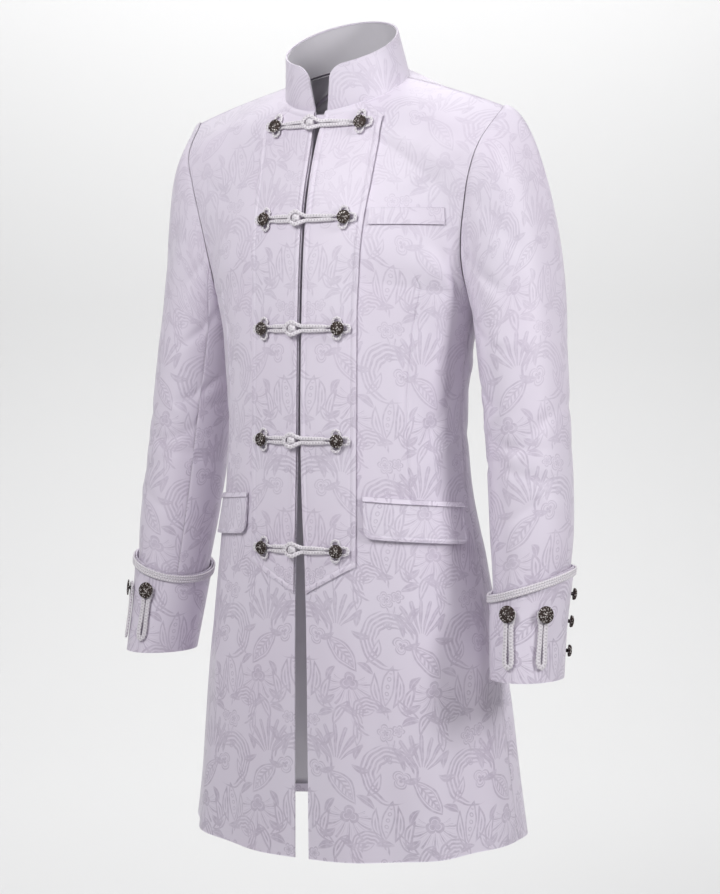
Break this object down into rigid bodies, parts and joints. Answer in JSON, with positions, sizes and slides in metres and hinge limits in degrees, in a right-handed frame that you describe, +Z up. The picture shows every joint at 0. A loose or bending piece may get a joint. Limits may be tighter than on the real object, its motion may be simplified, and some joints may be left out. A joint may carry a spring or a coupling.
{
  "type": "stand-collar frock coat",
  "caption": "Knee-length jacquard frock coat with a stand collar, a bib front closed by frogs and turned-back cuffs.",
  "frame": {"origin": "between the shoulders, where the wearer carries the coat", "axes": "+Z up along the body, -Y out of the front, +X towards the wearer's left"},
  "size_m": [0.6088, 0.3275, 1.029],
  "materials": {
    "jacquard": "satin",
    "lining": "satin",
    "braid": "matte",
    "pewter": "satin"
  },
  "bodies": {
    "root": {"front_left": "jacquard", "back_left": "jacquard", "sleeve_upper_left": "jacquard", "sleeve_under_left": "jacquard", "cuff_left": "jacquard", "bib_left": "jacquard", "pocket_flap_left": "jacquard", "pocket_welt_left": "jacquard", "cuff_braid_left": "braid", "cuff_loop_left_1": "braid", "cuff_button_left_1": "pewter", "cuff_loop_left_2": "braid", "cuff_button_left_2": "pewter", "vent_button_left_1": "pewter", "vent_button_left_2": "pewter", "vent_button_left_3": "pewter", "front_button_left_1": "pewter", "front_button_left_2": "pewter", "front_button_left_3": "pewter", "front_button_left_4": "pewter", "front_button_left_5": "pewter", "front_right": "jacquard", "back_right": "jacquard", "sleeve_upper_right": "jacquard", "sleeve_under_right": "jacquard", "cuff_right": "jacquard", "bib_right": "jacquard", "pocket_flap_right": "jacquard", "pocket_welt_right": "jacquard", "cuff_braid_right": "braid", "cuff_loop_right_1": "braid", "cuff_button_right_1": "pewter", "cuff_loop_right_2": "braid", "cuff_button_right_2": "pewter", "vent_button_right_1": "pewter", "vent_button_right_2": "pewter", "vent_button_right_3": "pewter", "front_button_right_1": "pewter", "front_button_right_2": "pewter", "front_button_right_3": "pewter", "front_button_right_4": "pewter", "front_button_right_5": "pewter", "frog_loop_1": "braid", "frog_knot_1": "braid", "frog_loop_2": "braid", "frog_knot_2": "braid", "frog_loop_3": "braid", "frog_knot_3": "braid", "frog_loop_4": "braid", "frog_knot_4": "braid", "frog_loop_5": "braid", "frog_knot_5": "braid", "collar": "jacquard", "chest_welt": "jacquard", "neck_tab": "jacquard", "collar_lining": "lining", "back_lining": "lining"}
  },
  "joints": []
}
